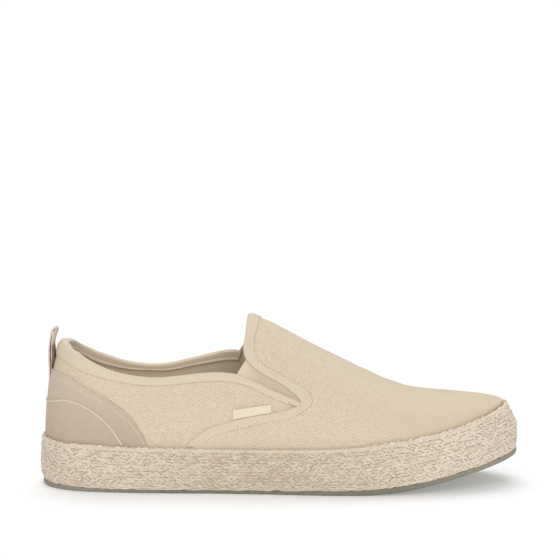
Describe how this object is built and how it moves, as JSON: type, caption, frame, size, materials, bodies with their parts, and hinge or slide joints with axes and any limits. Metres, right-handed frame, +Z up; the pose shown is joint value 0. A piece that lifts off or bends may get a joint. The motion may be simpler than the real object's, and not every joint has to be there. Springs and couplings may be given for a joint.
{
  "type": "slip-on sneaker",
  "caption": "Right slip-on canvas shoe with a jute-braided sole, elastic side gores, a suede heel counter and a heel pull loop.",
  "frame": {"origin": "centre of the bounding box in plan, on the floor that the shoe stands on", "axes": "+X from heel to toe, +Y to the inner (medial) side of this right shoe, +Z up"},
  "size_m": [0.295, 0.1032, 0.1063],
  "materials": {
    "outsole_rubber": "matt grey-olive rubber",
    "jute_braid": "braided jute rope, natural",
    "canvas_twill": "sand twill canvas",
    "insole_cloth": "plain cotton cloth over foam",
    "counter_suede": "taupe suede",
    "gore_elastic": "ribbed elastic",
    "label_cotton": "plain cream tape",
    "loop_webbing": "woven cotton tape"
  },
  "bodies": {
    "root": {"outsole": "outsole_rubber", "midsole": "jute_braid", "insole": "insole_cloth", "upper": "canvas_twill", "heel_counter": "counter_suede", "collar_binding": "canvas_twill", "vamp_hem": "canvas_twill", "gore_lateral": "gore_elastic", "gore_medial": "gore_elastic", "label_tab": "label_cotton", "pull_loop": "loop_webbing"}
  },
  "joints": []
}
